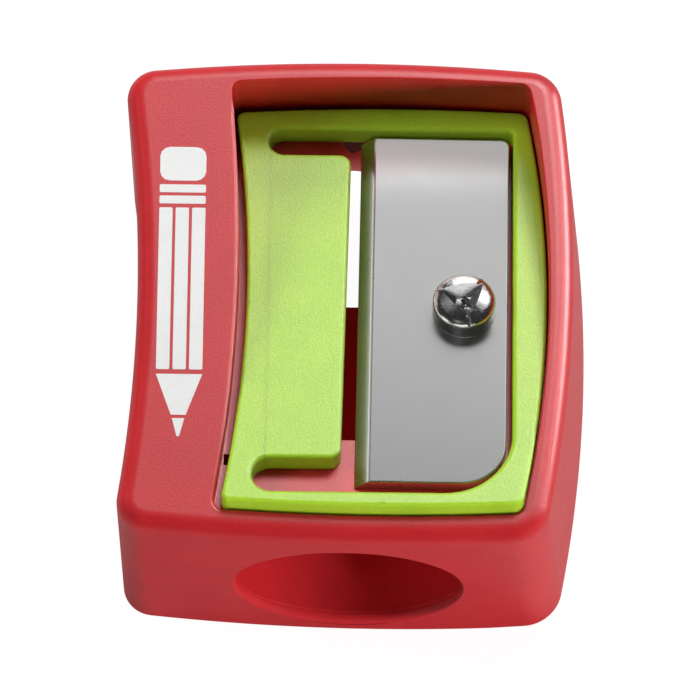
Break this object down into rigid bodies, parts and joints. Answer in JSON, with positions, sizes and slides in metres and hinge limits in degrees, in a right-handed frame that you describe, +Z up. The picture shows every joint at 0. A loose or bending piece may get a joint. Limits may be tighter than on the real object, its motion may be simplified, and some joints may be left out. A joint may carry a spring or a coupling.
{
  "type": "pencil sharpener",
  "caption": "Moulded hand pencil sharpener for thick pencils, with a sloping clip-in plate, flexing tongue, screwed steel blade and round guide hole.",
  "frame": {"origin": "centre of the underside, on the table", "axes": "+Y the way the pencil goes in, toward the back; +Z up; +X to the right, the blade's side"},
  "size_m": [0.0336, 0.0362, 0.0232],
  "materials": {
    "body_plastic": "finely grained red moulding",
    "plate_plastic": "finely grained lime green moulding",
    "blade_steel": "satin rolled steel with a ground cutting bevel",
    "screw_metal": "bright plated steel"
  },
  "bodies": {
    "holder": {"body": "body_plastic", "plate": "plate_plastic"},
    "tongue_flap": {"tongue": "plate_plastic"},
    "blade_unit": {"blade": "blade_steel"},
    "screw_unit": {"screw": "screw_metal"}
  },
  "joints": [
    {"name": "tongue_flex", "type": "hinge", "parent": "holder", "child": "tongue_flap", "pos_m": [-0.00657, -0.00025, 0.01992], "axis": [0, -0.9781, 0.2079], "range_deg": [0, 8], "stiffness_Nm_per_rad": 0.02},
    {"name": "blade_lift", "type": "slide", "parent": "holder", "child": "blade_unit", "axis": [0, 0.2079, 0.9781], "range_m": [0, 0.008]},
    {"name": "screw_turn", "type": "hinge", "parent": "blade_unit", "child": "screw_unit", "pos_m": [0.00772, 0.00019, 0.01983], "axis": [0, 0.2079, 0.9781], "continuous": true}
  ]
}
